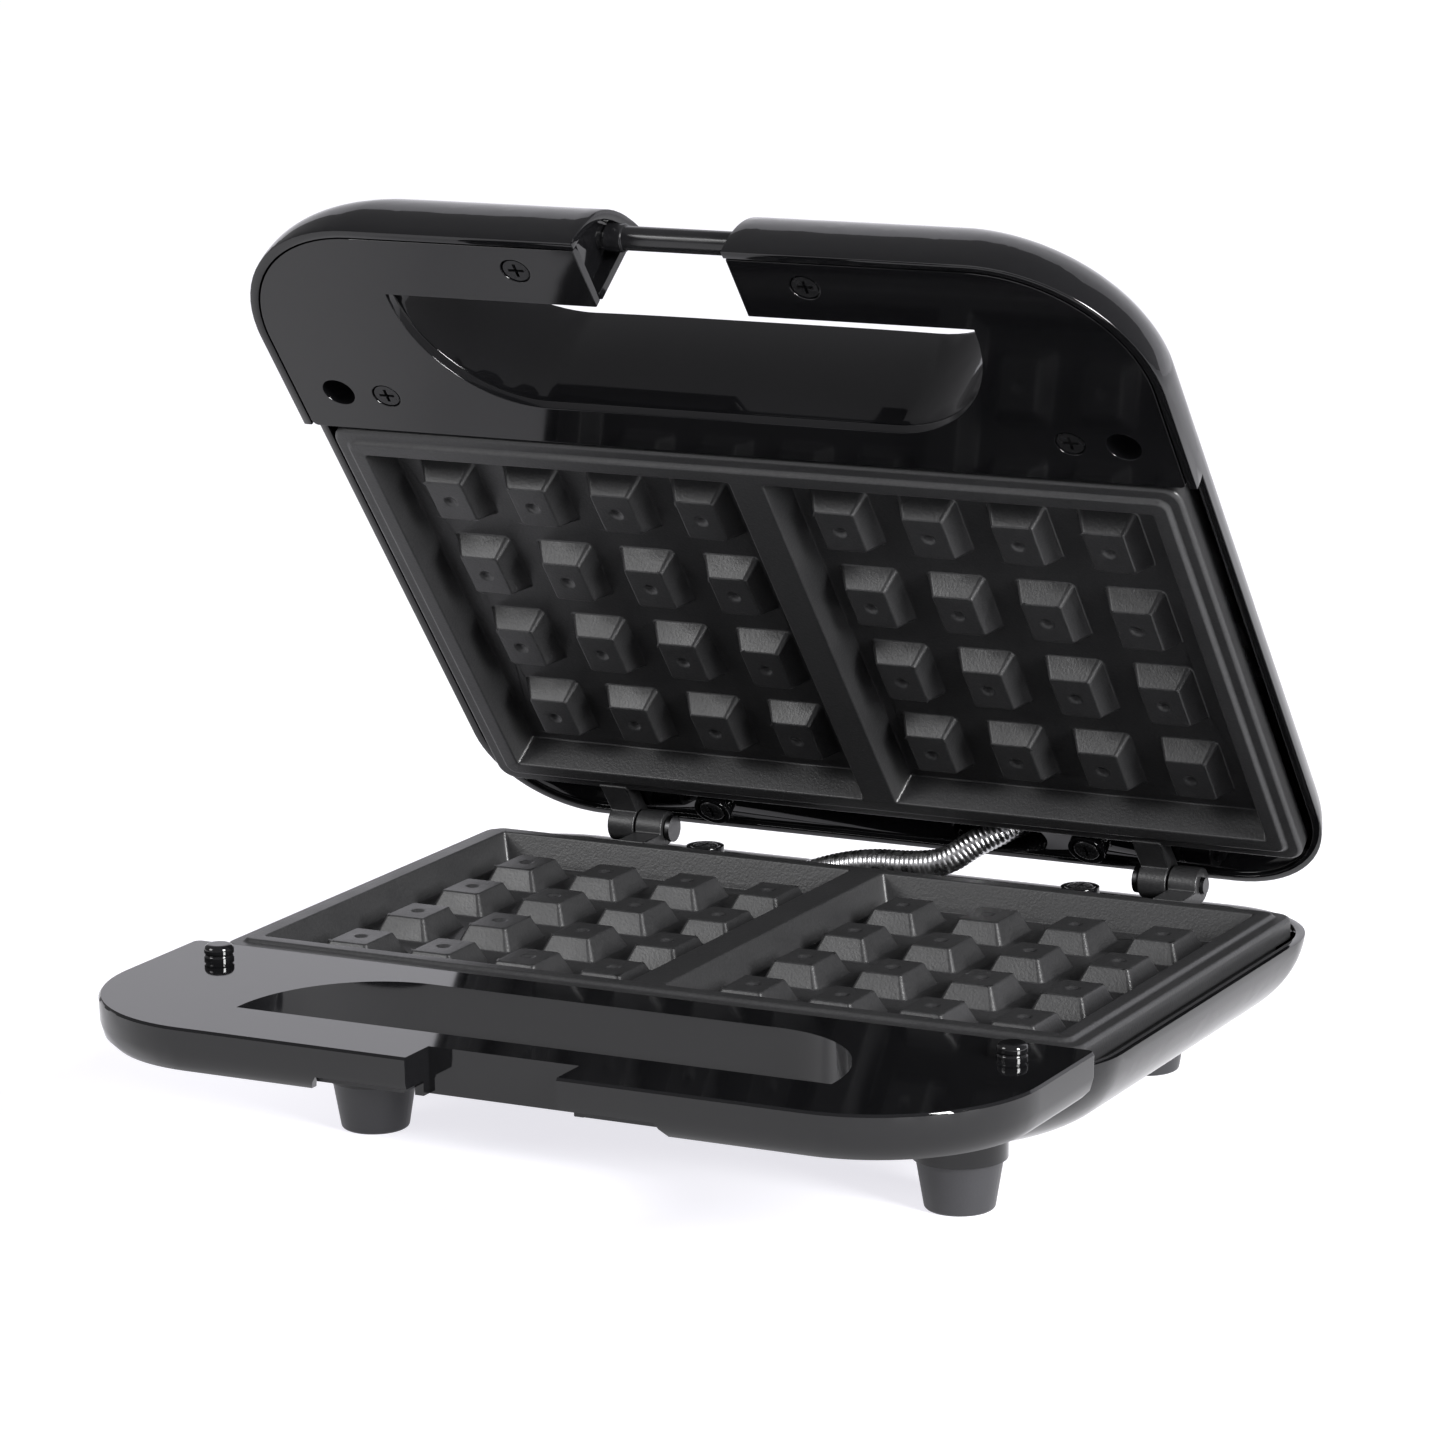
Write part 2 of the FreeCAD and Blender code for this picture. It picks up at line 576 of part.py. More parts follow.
def lower_handle_under():
    """Panel that closes the lower handle from beneath."""
    panel = prism(handle_outline(WALL + 1.3, -9.4), 1.9)
    round_wall = WALL + 0.15
    cuts = [window(round_wall, -12, 0)]
    notch = GAP_HALF + round_wall
    cuts.append(box(-notch, notch, FRONT, FRONT + NOTCH_DEPTH + round_wall, -12, 0))
    cuts.append(box(-HALF_WIDTH, HALF_WIDTH, -79.5, 0, -12, 0))
    for x, y in both_sides(LOWER_SCREWS):
        cuts.append(cylinder(x, y, -12, 0, 1.7))
    return panel.cut(cuts)


def lower_handle_screws():
    screws = [turned_over(pan_screw(-x, y, 11.5, 3.2, 3.6)) for x, y in both_sides(LOWER_SCREWS)]
    return Part.makeCompound(screws)


def peg(x, y):
    """Stop peg that enters the hole in the lid's handle."""
    pin = cylinder(x, y, -6.4, PEG_HEIGHT - HANDLE_GAP, PEG_R)
    pin = pin.makeFillet(1.3, [edge for edge in pin.Edges if edge.BoundBox.ZMin > 1])
    groove = Part.makeTorus(PEG_R + 0.35, 0.6, V(x, y, 0.8))
    return pin.cut(groove)


def foot(x, y):
    """Tapered round foot with a recess for its screw."""
    cone = Part.makeCone(8.0, 10.0, FOOT_HEIGHT, V(x, y, -PARTING_HEIGHT))
    cone = cone.makeFillet(1.0, [edge for edge in cone.Edges if edge.BoundBox.ZMax < -PARTING_HEIGHT + 0.01])
    recess = cylinder(x, y, -PARTING_HEIGHT - 1, -PARTING_HEIGHT + 6, 4.0)
    hole = cylinder(x, y, -PARTING_HEIGHT, -BASE_DEPTH + 1, 1.7)
    return cone.cut([recess, hole])


def foot_screws():
    screws = []
    for x, y in both_sides(FEET):
        top = PARTING_HEIGHT - 4.0
        screws.append(turned_over(pan_screw(-x, y, top, 3.3, 11.0)))
    return Part.makeCompound(screws)


# Wire conduit, drawn with the lid at rest

def opened(x, y, z):
    """Where a point of the shut lid lies when the lid is at rest."""
    swing = FreeCAD.Rotation(ALONG_X, -REST_ANGLE)
    hinge = V(0, HINGE_Y, 0)
    return hinge + swing.multVec(V(x, y, z) - hinge)


def conduit_route():
    """Corner points of the lead's route, from inside the base to inside the lid."""
    y = LEAD_Y
    in_tray = [V(-44, y - 4.4, -15.5), V(-31, y - 2.6, -10.0), V(-18, y - 1.0, -4.6)]
    between = [V(-6, y - 0.5, -1.9), V(5, y - 0.4, -1.7), V(14, y + 0.4, -0.3)]
    in_cover = [opened(21, y, 3.6), opened(27, y, 8.2), opened(32, y, 13.5)]
    return in_tray + between + in_cover


def wire_conduit():
    """Flexible sleeve: straight runs joined by tangent arcs."""
    points = conduit_route()
    edges = []
    start = points[0]
    for before, here, after in zip(points, points[1:], points[2:]):
        back = before - here
        ahead = after - here
        shorter = min(back.Length, ahead.Length)
        half = back.getAngle(ahead) / 2
        reach = 0.45 * shorter
        radius = reach * math.tan(half)
        back.normalize()
        ahead.normalize()
        inward = (back + ahead).normalize()
        middle = here + inward * (radius / math.sin(half) - radius)
        edges.append(Part.LineSegment(start, here + back * reach).toShape())
        edges.append(Part.Arc(here + back * reach, middle, here + ahead * reach).toShape())
        start = here + ahead * reach
    edges.append(Part.LineSegment(start, points[-1]).toShape())
    spine = Part.Wire(edges)
    ring = Part.Wire([Part.makeCircle(CONDUIT_R, points[0], points[1] - points[0])])
    return spine.makePipeShell([ring], True, False)


def build_base():
    in_base("lower_housing", lower_housing())
    in_base("lower_handle", lower_handle())
    in_base("lower_handle_under", lower_handle_under())
    in_base("lower_handle_screws", lower_handle_screws())
    in_base("lower_plate", plate(PIN_R))
    in_base("lower_heating_element", heating_element())
    in_base("lower_element_clamps", element_clamps())
    in_base("lower_reflector", reflector())
    in_base("lower_plate_screws", plate_screws())
    in_base("thermostat", thermostat())
    in_base("terminal_block", terminal_block())
    in_base("cord_inlet", cord_inlet())
    in_base("lower_flange_screws", mirrored_down(flange_screws()))
    in_base("foot_screws", foot_screws())
    in_base("wire_conduit", wire_conduit())
    for side_name, side in (("left", -1), ("right", 1)):
        in_base(side_name + "_hinge_pin", hinge_pin(side))
        in_base(side_name + "_peg", peg(side * PEG[0], PEG[1]))
        for place, (x, y) in zip(("front_", "rear_"), FEET):
            in_base(place + side_name + "_foot", foot(side * x, y))


def build_lid():
    in_lid("upper_housing", upper_housing())
    in_lid("upper_handle_cover", upper_handle_cover())
    in_lid("upper_cover_screws", upper_cover_screws())
    in_lid("latch_rod", latch_rod())
    in_lid("upper_plate", turned_over(plate(PIN_R + PIN_PLAY)))
    in_lid("upper_heating_element", turned_over(heating_element()))
    in_lid("upper_element_clamps", turned_over(element_clamps()))
    in_lid("upper_reflector", turned_over(reflector()))
    in_lid("upper_plate_screws", turned_over(plate_screws()))
    in_lid("thermal_fuse", turned_over(thermal_fuse()))
    in_lid("upper_flange_screws", flange_screws())
    in_lid("power_lamp_lens", lamp_lens(*LAMPS[0]))
    in_lid("ready_lamp_lens", lamp_lens(*LAMPS[1]))
    in_lid("lamp_holder", lamp_holder())


def write_parts():
    os.makedirs("parts", exist_ok=True)
    for name, shape in shapes.items():
        print(name, shape.isValid(), len(shape.Solids), round(shape.Volume / 1000, 2), "cm3")
        shape.exportStep("parts/" + name + ".step")


build_base()
build_lid()
write_parts()
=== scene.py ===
# %% [markdown]
# # A black waffle maker, finished in Blender
# The shapes come from a CAD model, which is loaded as a fixed frame. This lesson gives that
# frame its looks: rounded edges, a wound steel sleeve, procedural finishes, a floor and light.
# Everything is in metres, and the hinge and the sizes are read from the frame.

# %% Load the frame
import json
from math import pi, radians, sin

import bpy
from mathutils import Matrix, Vector
from mathutils.kdtree import KDTree

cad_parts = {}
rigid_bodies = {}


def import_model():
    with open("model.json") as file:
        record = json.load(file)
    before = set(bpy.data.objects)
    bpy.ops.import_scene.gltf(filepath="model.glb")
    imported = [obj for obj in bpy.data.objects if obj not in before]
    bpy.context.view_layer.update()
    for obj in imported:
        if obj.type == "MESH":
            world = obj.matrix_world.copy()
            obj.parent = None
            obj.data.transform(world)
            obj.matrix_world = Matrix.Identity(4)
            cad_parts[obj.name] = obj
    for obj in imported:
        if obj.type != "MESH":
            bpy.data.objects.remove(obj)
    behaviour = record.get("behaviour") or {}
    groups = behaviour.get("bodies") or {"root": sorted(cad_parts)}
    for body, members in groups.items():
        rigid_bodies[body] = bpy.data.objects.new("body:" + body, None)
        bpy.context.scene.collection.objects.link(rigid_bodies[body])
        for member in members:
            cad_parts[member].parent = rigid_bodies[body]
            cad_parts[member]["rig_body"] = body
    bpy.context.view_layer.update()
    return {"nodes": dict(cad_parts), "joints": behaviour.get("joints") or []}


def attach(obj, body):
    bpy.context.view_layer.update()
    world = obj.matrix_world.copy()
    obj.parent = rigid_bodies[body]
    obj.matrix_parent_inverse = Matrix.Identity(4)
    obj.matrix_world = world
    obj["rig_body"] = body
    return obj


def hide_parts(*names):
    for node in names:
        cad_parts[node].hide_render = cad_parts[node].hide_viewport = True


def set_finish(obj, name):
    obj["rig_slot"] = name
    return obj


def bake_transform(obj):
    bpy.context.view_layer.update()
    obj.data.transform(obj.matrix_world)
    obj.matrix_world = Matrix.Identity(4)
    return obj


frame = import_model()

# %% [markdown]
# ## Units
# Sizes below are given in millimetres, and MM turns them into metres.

MM = 0.001

# %% [markdown]
# ## Camera
# A product like this is usually shot with a long lens, from a little above and to one side. A
# long lens keeps the sides of the box nearly parallel. The direction is given as a turn about
# the vertical, a tilt up from straight down, and a slight roll, multiplied together as
# matrices, which is easier to check than three Euler angles.

# %% Camera
CAMERA_PLACE = Vector((0.5692, -1.1054, 0.3700))
TURN = radians(27.21)
TILT = radians(77.66)
ROLL = radians(-0.69)
LENS = 136.7
SENSOR = 36.0

camera_data = bpy.data.cameras.new("camera")
camera_data.lens = LENS
camera_data.sensor_width = SENSOR
camera = bpy.data.objects.new("camera", camera_data)
bpy.context.scene.collection.objects.link(camera)
aim = Matrix.Rotation(TURN, 4, "Z") @ Matrix.Rotation(TILT, 4, "X") @ Matrix.Rotation(ROLL, 4, "Z")
camera.matrix_world = Matrix.Translation(CAMERA_PLACE) @ aim
bpy.context.scene.camera = camera

# %% [markdown]
# ## Helpers
# Operators act on everything that is selected, and the loader leaves the CAD nodes selected.
# So each step first deselects all, and then picks its own object.

# %% Helpers
def alone(piece):
    """Makes piece the only selected object, and the active one."""
    bpy.ops.object.select_all(action="DESELECT")
    piece.select_set(True)
    bpy.context.view_layer.objects.active = piece


def apply_modifiers(piece):
    alone(piece)
    for modifier in list(piece.modifiers):
        bpy.ops.object.modifier_apply(modifier=modifier.name)


def triangles(piece):
    return sum(len(face.vertices) - 2 for face in piece.data.polygons)


# %% [markdown]
# ## Steel sleeve between the halves
# The leads to the lid's heating element run in a flexible sleeve of wound steel wire. It could
# be a plain tube with a striped bump, but its ribs show against the light behind them, so they
# are real. The route follows the CAD model's lead: out of the base's flange, past the hinge and
# into the lid's flange. Its last points are given with the lid shut, and then turned open.

# %% Sleeve route
lid_hinge = frame["joints"][0]
HINGE = Vector(lid_hinge["pos_m"])
LID_REST = Matrix.Rotation(radians(lid_hinge["range_deg"][0]), 4, "X")
LEAD_Y = HINGE.y - 3.7 * MM


def in_lid(x, y, z):
    """A point given with the lid shut, moved to where it lies with the lid at rest."""
    shut = Vector((x * MM, y, HINGE.z + z * MM))
    return LID_REST @ (shut - HINGE) + HINGE


def in_base(x, dy, z):
    """A point beside the line where the lead passes the hinge."""
    return Vector((x * MM, LEAD_Y + dy * MM, HINGE.z + z * MM))


route = [in_base(-44, -4.4, -15.5), in_base(-31, -2.6, -10.0), in_base(-18, -1.0, -4.6),
         in_base(-6, -0.5, -1.9), in_base(5, -0.4, -1.7), in_base(14, 0.4, -0.3),
         in_lid(21, LEAD_Y, 3.6), in_lid(27, LEAD_Y, 8.2), in_lid(32, LEAD_Y, 13.5)]
print("route", len(route), "points, hinge at", HINGE)

# %% [markdown]
# ## Sleeve tube
# A NURBS curve only leans towards its points, so it rounds every bend by itself. Given a bevel
# depth it becomes a round tube. The order and the end points are set after the points are
# added, because they depend on how many there are.

# %% Sleeve tube
SLEEVE_R = 3.45 * MM


def smooth_curve(name, places, resolution):
    """A NURBS curve led by places, which starts at the first and ends at the last."""
    lead = bpy.data.curves.new(name, "CURVE")
    lead.dimensions = "3D"
    line = lead.splines.new("NURBS")
    line.points.add(len(places) - 1)
    for point, place in zip(line.points, places):
        point.co = (*place, 1.0)
    line.order_u = 3
    line.use_endpoint_u = True
    lead.resolution_u = resolution
    return lead


curve = smooth_curve("steel_sleeve", route, 48)
curve.bevel_depth = SLEEVE_R
curve.bevel_resolution = 10
curve.use_fill_caps = True
sleeve = bpy.data.objects.new("steel_sleeve", curve)
bpy.context.scene.collection.objects.link(sleeve)
alone(sleeve)
bpy.ops.object.convert(target="MESH")
sleeve = bpy.context.view_layer.objects.active
print("sleeve tube", len(sleeve.data.vertices), "points")

# %% [markdown]
# ## Sleeve winding
# A second, bare curve on the same route gives the tube's middle line. Each point of the tube
# then moves straight out or in from that line, by how far round and along the winding it lies.
# A Screw modifier could wind a wire as well, but it would not follow a bent route.

# %% Middle line
def middle_line(places):
    """Close-set points along the route, and how far along it each lies."""
    holder = bpy.data.objects.new("route", smooth_curve("route", places, 40))
    mesh = bpy.data.meshes.new_from_object(holder)
    line = [vertex.co.copy() for vertex in mesh.vertices]
    bpy.data.objects.remove(holder)
    lengths = [0.0]
    for before, here in zip(line, line[1:]):
        lengths.append(lengths[-1] + (here - before).length)
    return line, lengths


line_places, line_lengths = middle_line(route)
print("sleeve length", round(line_lengths[-1], 4), "m")

# %% [markdown]
# ## Winding
# The nearest point of the middle line says how far along a point of the tube lies, and the
# angle about the line says how far round. Their sum in turns makes one long helix. The points
# in the middle of the end caps have no direction to move in, and stay.

# %% Winding
WIRE_PITCH = 1.25 * MM
WIRE_DEPTH = 0.17 * MM
WIRE_SUNK = 0.4             # share of the wire's height that lies inside the plain tube


def wind(piece):
    """Moves the tube's points out on the wire, and in between its turns."""
    tree = KDTree(len(line_places))
    for i, place in enumerate(line_places):
        tree.insert(place, i)
    tree.balance()
    last = len(line_places) - 1
    for vertex in piece.data.vertices:
        nearest, i, _ = tree.find(vertex.co)
        along = (line_places[min(i + 1, last)] - line_places[max(i - 1, 0)]).normalized()
        out = vertex.co - nearest
        shift = out.dot(along)
        out -= along * shift
        if out.length < 0.5 * SLEEVE_R:
            continue
        side = along.cross(Vector((0.0, 0.0, 1.0))).normalized()
        up = side.cross(along)
        round_by = Vector((out.dot(side), out.dot(up))).angle_signed(Vector((1.0, 0.0)))
        turn = (line_lengths[i] + shift) / WIRE_PITCH + round_by / (2 * pi)
        height = WIRE_DEPTH * (abs(sin(pi * turn)) - WIRE_SUNK)
        vertex.co += out.normalized() * height


wind(sleeve)
alone(sleeve)
bpy.ops.object.shade_smooth()
print("sleeve", triangles(sleeve), "triangles")

# %% [markdown]
# ## Rounded edges on the CAD pieces
# CAD solids have perfectly sharp edges, and no real moulding or casting does. The thin bright
# lines that light draws along the studs and rims come from edges with a small radius. A CAD
# node's mesh is loose triangles, so a copy is welded, and a Bevel modifier rounds every edge
# that is sharper than a set angle. Two choices depend on the piece. Joining flat triangles back
# into whole faces gives cleaner corners, but it spoils domed covers and faces with dimples.
# Weighted normals keep big flat faces flat beside a rounding, but they ripple on a dome.

# %% Rounding
WELD = 0.002 * MM
FLAT = radians(0.4)         # triangles that differ less than this are one face
SHARP = radians(32)         # edges sharper than this are rounded
CREASE = radians(40)        # edges sharper than this still break the shading


def rounded(node, name, width, segments, merge_flat, flat_faces):
    """A welded copy of a CAD node with its sharp edges rounded, standing for that node."""
    mesh = frame["nodes"][node].data.copy()
    piece = bpy.data.objects.new(name, mesh)
    bpy.context.scene.collection.objects.link(piece)
    alone(piece)
    bpy.ops.mesh.customdata_custom_splitnormals_clear()
    bpy.ops.object.mode_set(mode="EDIT")
    bpy.ops.mesh.select_all(action="SELECT")
    bpy.ops.mesh.remove_doubles(threshold=WELD)
    if merge_flat:
        bpy.ops.mesh.dissolve_limited(angle_limit=FLAT)
    bpy.ops.object.mode_set(mode="OBJECT")
    bpy.ops.object.shade_smooth()
    if width:
        bevel = piece.modifiers.new("rounding", "BEVEL")
        bevel.width = width * MM
        bevel.segments = segments
        bevel.limit_method = "ANGLE"
        bevel.angle_limit = SHARP
        bevel.use_clamp_overlap = False
        apply_modifiers(piece)
    alone(piece)
    bpy.ops.object.shade_smooth_by_angle(angle=CREASE)
    if flat_faces:
        by_area = piece.modifiers.new("flat faces stay flat", "WEIGHTED_NORMAL")
        by_area.keep_sharp = True
        apply_modifiers(piece)
    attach(piece, frame["nodes"][node]["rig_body"])
    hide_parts(node)
    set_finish(piece, frame["nodes"][node].data.materials[0].name)
    return piece


# %% [markdown]
# ## Which pieces are rounded, and how much
# A sprayed casting has the softest edges, and a moulding's are about half as wide. The lower
# handle keeps its sharp ones: where its outer wall curls under to a thin edge at the rear
# corners, there is no room for a rounding. The small pieces stay as the CAD model has them.

# %% Rounded pieces
# CAD node: (piece, width in mm, segments, join flat triangles, keep flat faces flat)
ROUNDED = {
    "lower_plate": ("lower_plate_casting", 0.4, 3, False, True),
    "upper_plate": ("upper_plate_casting", 0.4, 3, False, True),
    "lower_housing": ("lower_tray", 0.12, 2, False, False),
    "upper_housing": ("lid_cover", 0.2, 2, False, False),
    "lower_handle": ("lower_handle_moulding", 0.0, 0, True, True),
    "upper_handle_cover": ("lid_handle_face", 0.25, 2, True, True),
    "latch_rod": ("latch_bar", 0.25, 2, True, True),
}
pieces = {}
for node, (name, *way) in ROUNDED.items():
    pieces[name] = rounded(node, name, *way)
    print(name, triangles(pieces[name]), "triangles")

# %% [markdown]
# ## Procedural helpers
# Two effects are used by several finishes, so each is a shader node group, built once. Grain
# is a fine bump with a little change of tone. Handling is the uneven sheen that fingers and
# wiping leave, as a change of roughness. Each material gives the group its own values.

# %% Node groups
def new_group(name, inputs, outputs):
    """An empty shader group with named sockets."""
    group = bpy.data.node_groups.new(name, "ShaderNodeTree")
    for label, kind, value in inputs:
        socket = group.interface.new_socket(label, in_out="INPUT", socket_type=kind)
        socket.default_value = value
    for label, kind in outputs:
        group.interface.new_socket(label, in_out="OUTPUT", socket_type=kind)
    start = group.nodes.new("NodeGroupInput")
    end = group.nodes.new("NodeGroupOutput")
    return group, start, end


def grain_group():
    """Fine surface grain: a bumped normal and a mask for tone."""
    group, start, end = new_group(
        "surface_grain",
        [("Scale", "NodeSocketFloat", 1500.0), ("Strength", "NodeSocketFloat", 0.2),
         ("Height", "NodeSocketFloat", 0.0001)],
        [("Normal", "NodeSocketVector"), ("Mask", "NodeSocketFloat")])
    nodes, links = group.nodes, group.links
    place = nodes.new("ShaderNodeTexCoord")
    noise = nodes.new("ShaderNodeTexNoise")
    noise.inputs["Detail"].default_value = 3.0
    noise.inputs["Roughness"].default_value = 0.6
    bump = nodes.new("ShaderNodeBump")
    links.new(place.outputs["Object"], noise.inputs["Vector"])
    links.new(start.outputs["Scale"], noise.inputs["Scale"])
    links.new(noise.outputs["Fac"], bump.inputs["Height"])
    links.new(start.outputs["Strength"], bump.inputs["Strength"])
    links.new(start.outputs["Height"], bump.inputs["Distance"])
    links.new(bump.outputs["Normal"], end.inputs["Normal"])
    links.new(noise.outputs["Fac"], end.inputs["Mask"])
    return group


def handling_group():
    """Uneven sheen from handling: a roughness that wanders between two values."""
    group, start, end = new_group(
        "handling",
        [("Scale", "NodeSocketFloat", 30.0), ("Smooth", "NodeSocketFloat", 0.05),
         ("Dull", "NodeSocketFloat", 0.1)],
        [("Roughness", "NodeSocketFloat")])
    nodes, links = group.nodes, group.links
    place = nodes.new("ShaderNodeTexCoord")
    noise = nodes.new("ShaderNodeTexNoise")
    noise.inputs["Detail"].default_value = 4.0
    spread = nodes.new("ShaderNodeMapRange")
    spread.inputs["From Min"].default_value = 0.35
    spread.inputs["From Max"].default_value = 0.65
    links.new(place.outputs["Object"], noise.inputs["Vector"])
    links.new(start.outputs["Scale"], noise.inputs["Scale"])
    links.new(noise.outputs["Fac"], spread.inputs["Value"])
    links.new(start.outputs["Smooth"], spread.inputs["To Min"])
    links.new(start.outputs["Dull"], spread.inputs["To Max"])
    links.new(spread.outputs["Result"], end.inputs["Roughness"])
    return group


GRAIN = grain_group()
HANDLING = handling_group()
print("groups", GRAIN.name, HANDLING.name)

# %% [markdown]
# ## Finishes
# Every finish is one Principled shader. What is the same all over is set on its own sockets,
# and the groups feed colour, roughness and normal. The plates have a sprayed non-stick coat,
# dull and slightly speckled. The mouldings are black plastic with a mirror gloss that shows
# whatever stands around it, so most of their look comes from the light.

# %% Finish builder
def finish(name, dark, light, grain, sheen, metallic=0.0, ior=1.5):
    """A material whose tone, normal and roughness come from the two groups.

    grain is (scale, strength, height in mm), and sheen is (scale, smooth, dull).
    """
    material = bpy.data.materials.new(name)
    material.use_nodes = True
    nodes, links = material.node_tree.nodes, material.node_tree.links
    shader = nodes["Principled BSDF"]
    shader.inputs["Metallic"].default_value = metallic
    shader.inputs["IOR"].default_value = ior
    skin = nodes.new("ShaderNodeGroup")
    skin.node_tree = GRAIN
    skin.inputs["Scale"].default_value = grain[0]
    skin.inputs["Strength"].default_value = grain[1]
    skin.inputs["Height"].default_value = grain[2] * MM
    tone = nodes.new("ShaderNodeMix")
    tone.data_type = "RGBA"
    tone.inputs["A"].default_value = (*dark, 1.0)
    tone.inputs["B"].default_value = (*light, 1.0)
    wear = nodes.new("ShaderNodeGroup")
    wear.node_tree = HANDLING
    wear.inputs["Scale"].default_value = sheen[0]
    wear.inputs["Smooth"].default_value = sheen[1]
    wear.inputs["Dull"].default_value = sheen[2]
    links.new(skin.outputs["Mask"], tone.inputs["Factor"])
    links.new(tone.outputs["Result"], shader.inputs["Base Color"])
    links.new(skin.outputs["Normal"], shader.inputs["Normal"])
    links.new(wear.outputs["Roughness"], shader.inputs["Roughness"])
    return material


# %% [markdown]
# ## The finishes themselves
# Each has a darker and a lighter tone that the grain mixes. Black plastic is never quite black,
# and bare steel is light and wholly metallic. The keys are the record's material slots.

# %% Finishes
FINISHES = {
    "non_stick_plate": finish("sprayed_non_stick", (0.008, 0.008, 0.0085), (0.030, 0.030, 0.031),
                              (1500, 0.55, 0.12), (60, 0.34, 0.42)),
    "gloss_black": finish("gloss_black_plastic", (0.0030, 0.0030, 0.0034), (0.0042, 0.0042, 0.0047),
                          (260, 0.02, 0.05), (24, 0.045, 0.075), ior=1.49),
    "satin_black": finish("satin_black_plastic", (0.010, 0.010, 0.011), (0.016, 0.016, 0.017),
                          (1800, 0.3, 0.08), (30, 0.38, 0.5)),
    "feet": finish("foot_plastic", (0.018, 0.018, 0.020), (0.026, 0.026, 0.029),
                   (2200, 0.25, 0.06), (40, 0.34, 0.44)),
    "pegs": finish("peg_plastic", (0.003, 0.003, 0.0034), (0.005, 0.005, 0.0055),
                   (300, 0.02, 0.05), (60, 0.05, 0.09)),
    "black_screws": finish("blackened_steel", (0.010, 0.010, 0.011), (0.030, 0.030, 0.031),
                           (3000, 0.2, 0.04), (400, 0.16, 0.30), metallic=0.6),
    "hinge_steel": finish("hinge_pin_steel", (0.06, 0.06, 0.062), (0.11, 0.11, 0.112),
                          (2500, 0.15, 0.03), (300, 0.26, 0.40), metallic=1.0),
    "latch_rod": finish("painted_rod", (0.006, 0.006, 0.0065), (0.010, 0.010, 0.011),
                        (900, 0.08, 0.05), (120, 0.16, 0.26)),
    "steel_sleeve": finish("wound_steel", (0.45, 0.45, 0.46), (0.72, 0.72, 0.73),
                           (2600, 0.15, 0.03), (500, 0.22, 0.36), metallic=1.0),
    "inlet_rubber": finish("grommet_rubber", (0.012, 0.012, 0.012), (0.022, 0.022, 0.022),
                           (1600, 0.4, 0.08), (40, 0.55, 0.7)),
    "element_sheath": finish("element_sheath", (0.16, 0.15, 0.14), (0.32, 0.31, 0.29),
                             (900, 0.2, 0.05), (150, 0.35, 0.5), metallic=1.0),
    "spring_steel": finish("spring_steel", (0.40, 0.40, 0.41), (0.55, 0.55, 0.56),
                           (1600, 0.12, 0.03), (200, 0.25, 0.38), metallic=1.0),
    "reflector_sheet": finish("bright_sheet", (0.62, 0.62, 0.63), (0.78, 0.78, 0.79),
                              (700, 0.1, 0.05), (80, 0.2, 0.34), metallic=1.0),
    "ceramic_white": finish("white_ceramic", (0.62, 0.60, 0.56), (0.74, 0.72, 0.68),
                            (900, 0.15, 0.05), (80, 0.35, 0.5)),
    "thermal_parts": finish("thermal_parts", (0.34, 0.33, 0.31), (0.50, 0.49, 0.46),
                            (900, 0.12, 0.05), (120, 0.3, 0.45), metallic=0.8),
    "lamp_board": finish("lamp_board", (0.02, 0.10, 0.05), (0.03, 0.14, 0.07),
                         (500, 0.1, 0.05), (90, 0.35, 0.5)),
    "red_lens": finish("red_lens", (0.30, 0.006, 0.006), (0.36, 0.010, 0.008),
                       (200, 0.02, 0.05), (60, 0.06, 0.1)),
    "green_lens": finish("green_lens", (0.010, 0.17, 0.03), (0.014, 0.21, 0.04),
                         (200, 0.02, 0.05), (60, 0.06, 0.1)),
}
print(len(FINISHES), "finishes")

# %% [markdown]
# ## Putting the finishes on
# The record names a material slot for each CAD node. A node that stays gets its finish in
# that slot, and a piece that stands for a node takes the finish of the slot that it named.

# %% Assign
for node, part in frame["nodes"].items():
    for slot in part.material_slots:
        slot.material = FINISHES[slot.material.name.split(".")[0]]
for piece in pieces.values():
    piece.data.materials.clear()
    piece.data.materials.append(FINISHES[piece["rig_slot"]])
sleeve.data.materials.clear()
sleeve.data.materials.append(FINISHES["steel_sleeve"])
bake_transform(sleeve)
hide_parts("wire_conduit")
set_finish(sleeve, "steel_sleeve")
print(len(frame["nodes"]), "CAD nodes and", len(pieces) + 1, "pieces have their finish")

# %% [markdown]
# ## Floor and light
# Glossy black plastic has hardly any colour of its own, so what stands around it is its look.
# Faces seen at a low angle mirror the white wall behind and turn pale, and those that mirror
# the black lid stay black. A sky as bright as the paper would also fill the wells with light,
# so the sky and floor are white to the camera but dimmer as light. That takes a Light Path
# node, which tells a camera ray from the others. One large soft lamp stands at the right, where
# it lights the studs' right faces, and a weak one fills the left.

# %% Seen and felt
def seen_or_felt(tree, seen, felt):
    """A strength for camera rays, and another for the light that falls on things."""
    path = tree.nodes.new("ShaderNodeLightPath")
    pick = tree.nodes.new("ShaderNodeMix")
    pick.data_type = "FLOAT"
    pick.inputs["A"].default_value = felt
    pick.inputs["B"].default_value = seen
    tree.links.new(path.outputs["Is Camera Ray"], pick.inputs["Factor"])
    return pick.outputs["Result"]


# %% [markdown]
# ## Floor and wall
# Both are plain sheets of paper that glow a little. The floor reaches far beyond the object, so
# no edge of it shows, and the wall stands behind, to be mirrored in the lower handle's top.

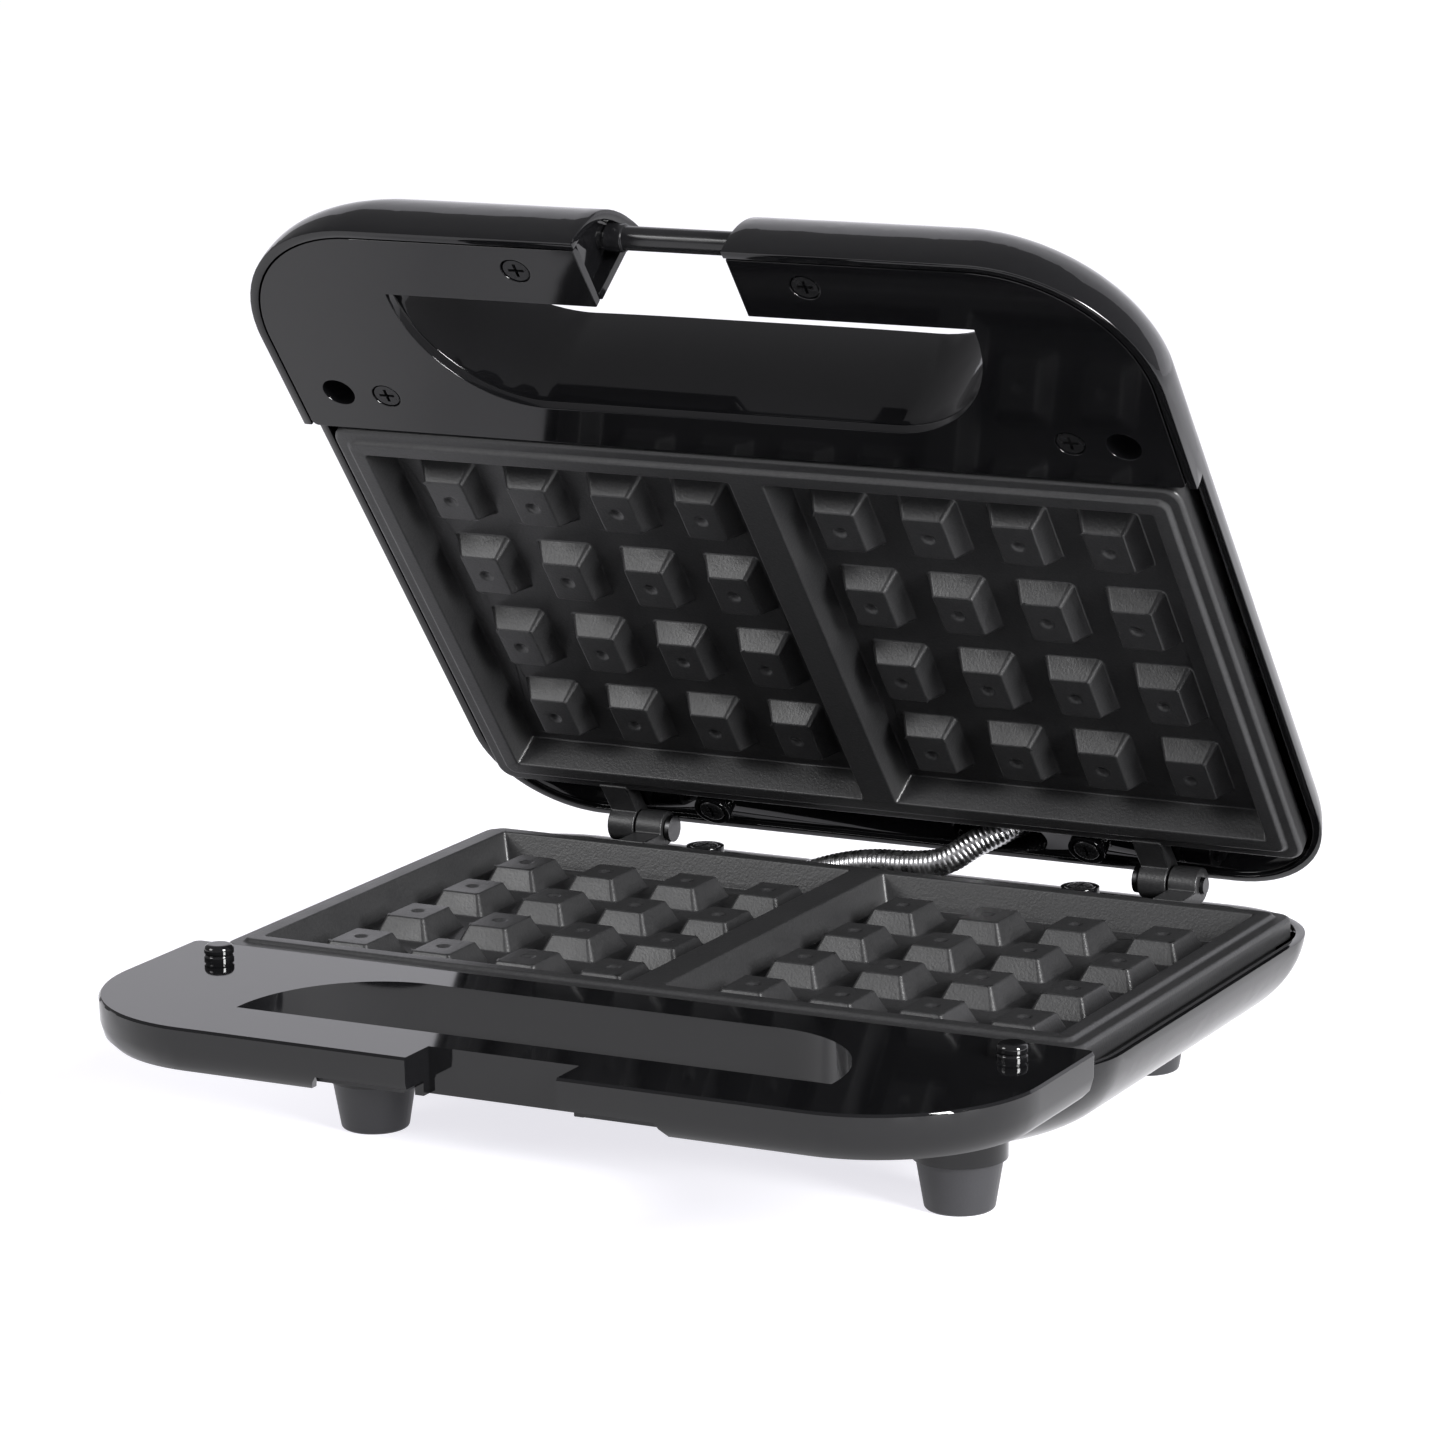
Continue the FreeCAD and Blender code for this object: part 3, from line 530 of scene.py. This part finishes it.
# %% Floor and wall
def paper_sheet(name, location, rotation, size, dull, seen, felt):
    """A sheet of paper, as light as dull says, with its glow as seen and as felt."""
    bpy.ops.object.select_all(action="DESELECT")
    bpy.ops.mesh.primitive_plane_add(size=size, location=location, rotation=rotation)
    sheet = bpy.context.view_layer.objects.active
    sheet.name = name
    paper = bpy.data.materials.new(name + "_paper")
    paper.use_nodes = True
    shader = paper.node_tree.nodes["Principled BSDF"]
    shader.inputs["Base Color"].default_value = (dull, dull, dull, 1.0)
    shader.inputs["Roughness"].default_value = 0.9
    shader.inputs["Specular IOR Level"].default_value = 0.1
    shader.inputs["Emission Color"].default_value = (0.95, 0.94, 1.0, 1.0)
    strength = seen_or_felt(paper.node_tree, seen, felt)
    paper.node_tree.links.new(strength, shader.inputs["Emission Strength"])
    sheet.data.materials.append(paper)
    print(name, size, "m")


paper_sheet("floor", (0, 0, 0), (0, 0, 0), 30, dull=0.40, seen=0.80, felt=0.50)
paper_sheet("wall", (-1.0, 3.2, 1.2), (radians(90), 0, 0), 6.0, dull=0.2, seen=1.0, felt=0.85)

# %% [markdown]
# ## Sky and lamps
# The lamps are soft boxes, because a small bare lamp would show as a hard spot in the gloss. The
# view transform is Standard, which keeps white paper white.

# %% Light
sky = bpy.data.worlds.new("sky")
bpy.context.scene.world = sky
sky.use_nodes = True
air = sky.node_tree.nodes["Background"]
air.inputs["Color"].default_value = (0.97, 0.96, 1.0, 1.0)
sky.node_tree.links.new(seen_or_felt(sky.node_tree, 1.0, 0.28), air.inputs["Strength"])


def soft_lamp(name, place, target, size, power):
    """A soft box at place that faces target."""
    data = bpy.data.lights.new(name, "AREA")
    data.shape = "RECTANGLE"
    data.size, data.size_y = size
    data.energy = power
    lamp = bpy.data.objects.new(name, data)
    bpy.context.scene.collection.objects.link(lamp)
    look = (Vector(target) - Vector(place)).to_track_quat("-Z", "Y").to_matrix().to_4x4()
    lamp.matrix_world = Matrix.Translation(Vector(place)) @ look
    print(name, power, "W")


soft_lamp("key", (1.5, -0.55, 0.75), (0, 0, 0.10), (0.5, 0.8), 85)
soft_lamp("fill", (-1.1, -1.2, 0.9), (0, 0, 0.08), (0.7, 0.7), 14)
bpy.context.scene.view_settings.view_transform = "Standard"
